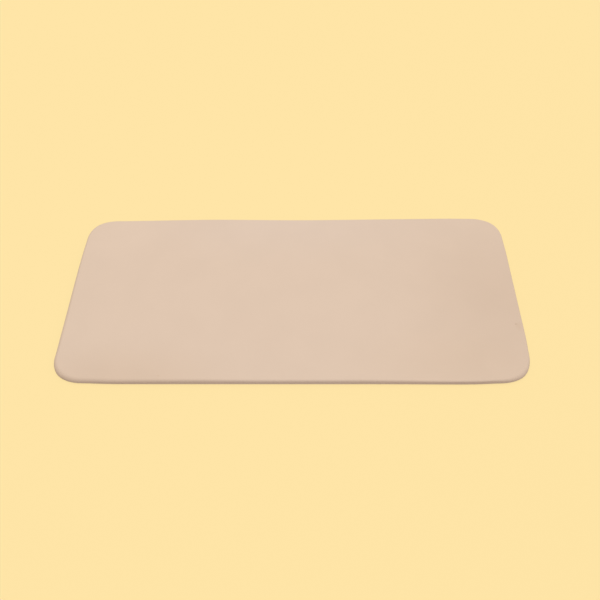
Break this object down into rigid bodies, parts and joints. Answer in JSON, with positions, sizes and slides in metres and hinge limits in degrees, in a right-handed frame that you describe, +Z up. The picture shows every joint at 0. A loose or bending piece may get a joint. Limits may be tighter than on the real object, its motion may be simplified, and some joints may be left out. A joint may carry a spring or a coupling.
{
  "type": "wet palette",
  "caption": "Slim flat wet palette: a rounded lift-off cover with a seal over a shallow tray that holds a wet foam and a paint membrane.",
  "frame": {"origin": "on the table under the centre of the closed palette", "axes": "+X along the palette's long side to the right, +Y across it away from the viewer, +Z up"},
  "size_m": [0.3, 0.15, 0.0041],
  "materials": {
    "cover_plastic": "beige moulded plastic, matt, with a very fine grain",
    "seal_rubber": "milky silicone, satin",
    "membrane_sheet": "off-white fibre sheet, damp, faintly creased",
    "foam_sponge": "pale yellow fine-celled sponge, damp",
    "tray_plastic": "deeper beige moulded plastic, satin",
    "foot_rubber": "dark grey non-slip rubber"
  },
  "bodies": {
    "tray": {"tray_rim": "tray_plastic", "tray_base": "tray_plastic", "foot_front_left": "foot_rubber", "foot_front_right": "foot_rubber", "foot_rear_left": "foot_rubber", "foot_rear_right": "foot_rubber"},
    "foam": {"hydration_foam": "foam_sponge"},
    "membrane": {"paint_membrane": "membrane_sheet"},
    "cover": {"cover": "cover_plastic", "cover_skirt": "cover_plastic", "cover_seal": "seal_rubber"}
  },
  "joints": [
    {"name": "foam_lift", "type": "slide", "parent": "tray", "child": "foam", "axis": [0, 0, 1], "range_m": [0, 0.04]},
    {"name": "membrane_lift", "type": "slide", "parent": "foam", "child": "membrane", "axis": [0, 0, 1], "range_m": [0, 0.04]},
    {"name": "cover_lift", "type": "slide", "parent": "membrane", "child": "cover", "axis": [0, 0, 1], "range_m": [0, 0.06]}
  ]
}
